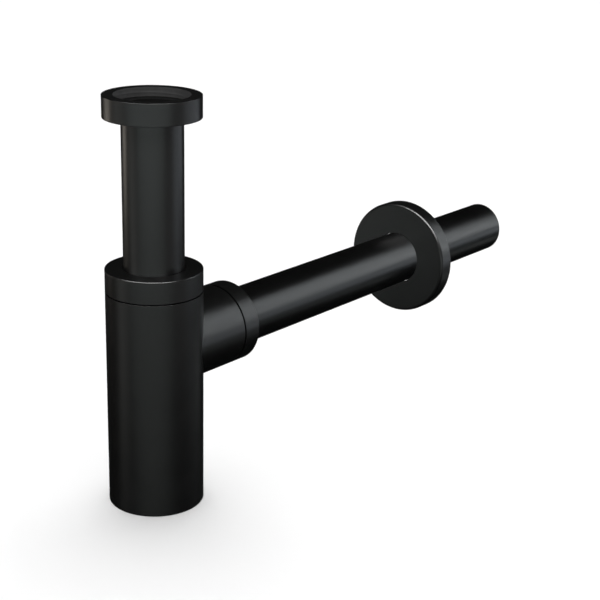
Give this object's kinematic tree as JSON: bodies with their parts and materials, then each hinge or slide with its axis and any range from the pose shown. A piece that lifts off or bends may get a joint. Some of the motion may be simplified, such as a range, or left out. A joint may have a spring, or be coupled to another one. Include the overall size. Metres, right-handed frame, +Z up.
{
  "type": "basin trap",
  "caption": "Round bottle trap for a wash basin: a nut and tube above, a dip tube in the bottle for the water seal, and a side outlet tube with a wall flange.",
  "frame": {"origin": "centre of the basin nut's rim, where the waste enters", "axes": "+Z up out of the basin nut, +Y along the outlet tube towards the wall"},
  "size_m": [0.0708, 0.3452, 0.2223],
  "materials": {
    "black_brass": "satin black coating over brass",
    "rubber": "matt black moulded rubber",
    "white_plastic": "moulded white polypropylene"
  },
  "bodies": {
    "basin_nut": {"basin_nut": "black_brass"},
    "inlet_tube": {"inlet_tube": "black_brass", "basin_washer": "rubber"},
    "bottle": {"bottle_body": "black_brass", "dip_tube": "white_plastic", "dip_tube_gasket": "rubber", "cap_cone_seal": "rubber", "outlet_cone_seal": "rubber"},
    "cap_slip_ring": {"cap_slip_ring": "white_plastic"},
    "cap_nut": {"cap_nut": "black_brass"},
    "outlet_slip_ring": {"outlet_slip_ring": "white_plastic"},
    "outlet_nut": {"outlet_nut": "black_brass"},
    "outlet_tube": {"outlet_tube": "black_brass"},
    "wall_flange": {"wall_flange": "black_brass"}
  },
  "joints": [
    {"name": "inlet_swivel", "type": "hinge", "parent": "basin_nut", "child": "inlet_tube", "pos_m": [0, 0, -0.0095], "axis": [0, 0, 1], "continuous": true},
    {"name": "height_slide", "type": "slide", "parent": "inlet_tube", "child": "bottle", "axis": [0, 0, 1], "range_m": [-0.035, 0.055]},
    {"name": "cap_travel", "type": "slide", "parent": "bottle", "child": "cap_slip_ring", "axis": [0, 0, 1], "range_m": [0, 0.0075]},
    {"name": "cap_turn", "type": "hinge", "parent": "cap_slip_ring", "child": "cap_nut", "pos_m": [0, 0, -0.09065], "axis": [0, 0, 1], "range_deg": [0, 1800]},
    {"name": "outlet_nut_travel", "type": "slide", "parent": "bottle", "child": "outlet_slip_ring", "axis": [0, 1, 0], "range_m": [0, 0.0075]},
    {"name": "outlet_nut_turn", "type": "hinge", "parent": "outlet_slip_ring", "child": "outlet_nut", "pos_m": [0, 0.0586, -0.135], "axis": [0, 1, 0], "range_deg": [0, 1800]},
    {"name": "outlet_slide", "type": "slide", "parent": "bottle", "child": "outlet_tube", "axis": [0, 1, 0], "range_m": [-0.003, 0.016]},
    {"name": "flange_slide", "type": "slide", "parent": "outlet_tube", "child": "wall_flange", "axis": [0, 1, 0], "range_m": [-0.14, 0.085]}
  ],
  "couplings": [
    {"joint": "cap_travel", "follows": "cap_turn", "m_per_rad": 0.00023873},
    {"joint": "outlet_nut_travel", "follows": "outlet_nut_turn", "m_per_rad": 0.00023873}
  ]
}
